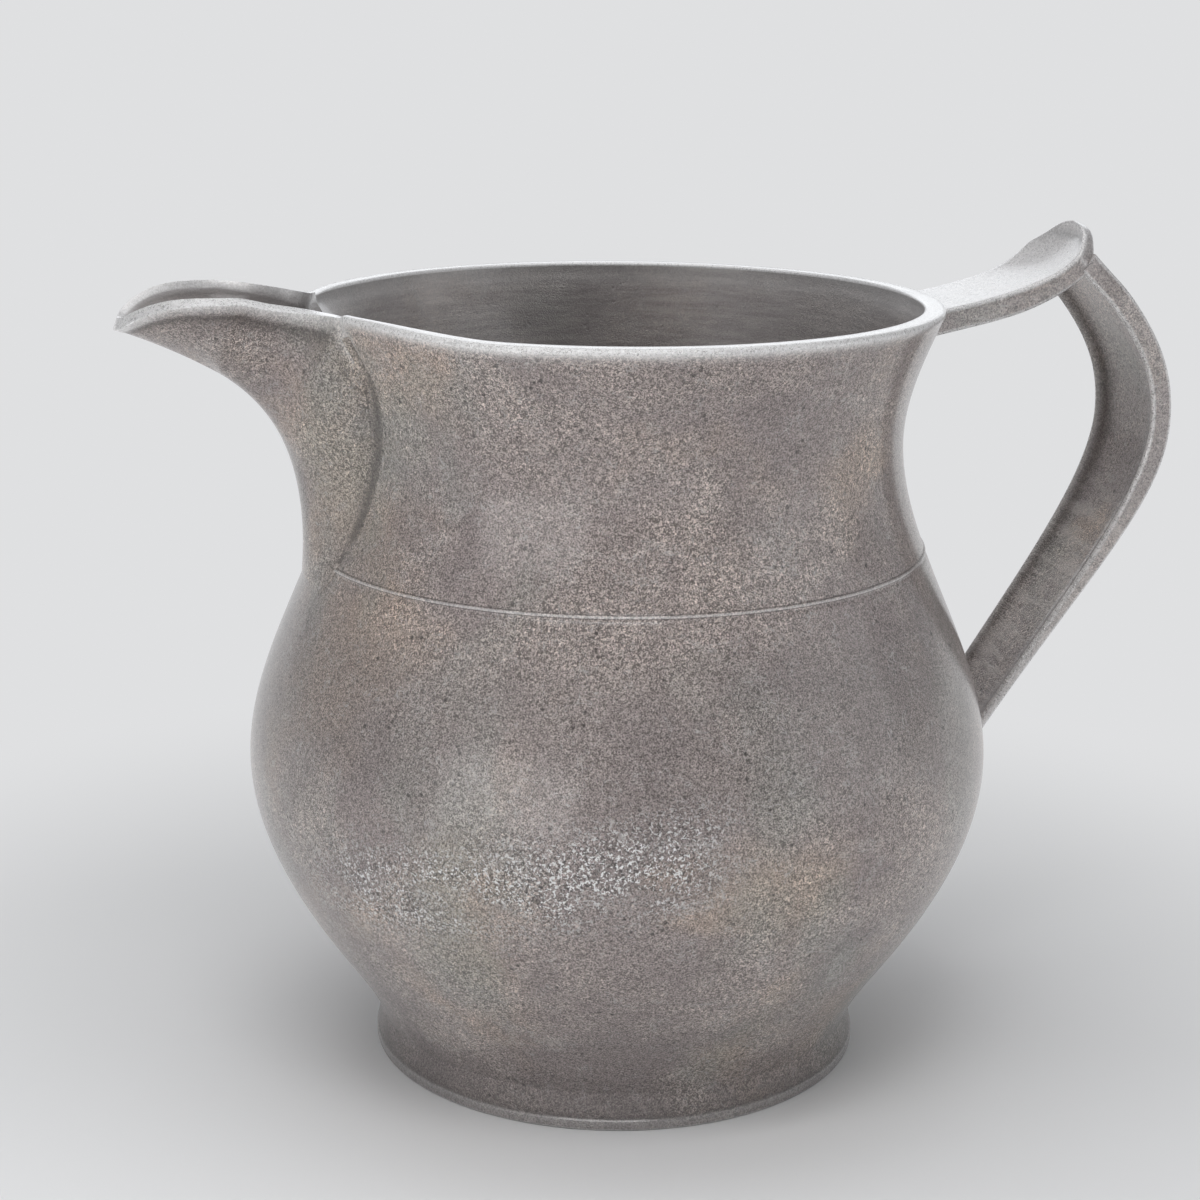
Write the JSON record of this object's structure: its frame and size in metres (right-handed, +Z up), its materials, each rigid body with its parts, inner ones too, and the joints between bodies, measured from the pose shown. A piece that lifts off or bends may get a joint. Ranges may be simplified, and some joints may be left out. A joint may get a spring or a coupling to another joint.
{
  "type": "pitcher",
  "caption": "Open pewter pitcher: bellied body on a low foot, flared neck, trough spout, and a strap handle with a dished thumb rest.",
  "frame": {"origin": "centre of the foot's resting face, on the table", "axes": "+Z up along the body's axis, +X towards the handle, -X towards the spout"},
  "size_m": [0.2106, 0.1476, 0.165],
  "materials": {
    "pewter": "dull warm grey cast pewter, finely pitted, worn bright on rim, lips and thumb rest",
    "solder": "soft solder of nearly the same grey, a little brighter"
  },
  "bodies": {
    "root": {"bowl": "pewter", "neck": "pewter", "seam_solder": "solder", "spout": "pewter", "spout_solder": "solder", "handle_arm": "pewter", "arm_solder": "solder", "handle_grip": "pewter", "foot_ring": "pewter", "bottom_disc": "pewter", "bottom_solder": "solder", "foot_solder": "solder"}
  },
  "joints": []
}
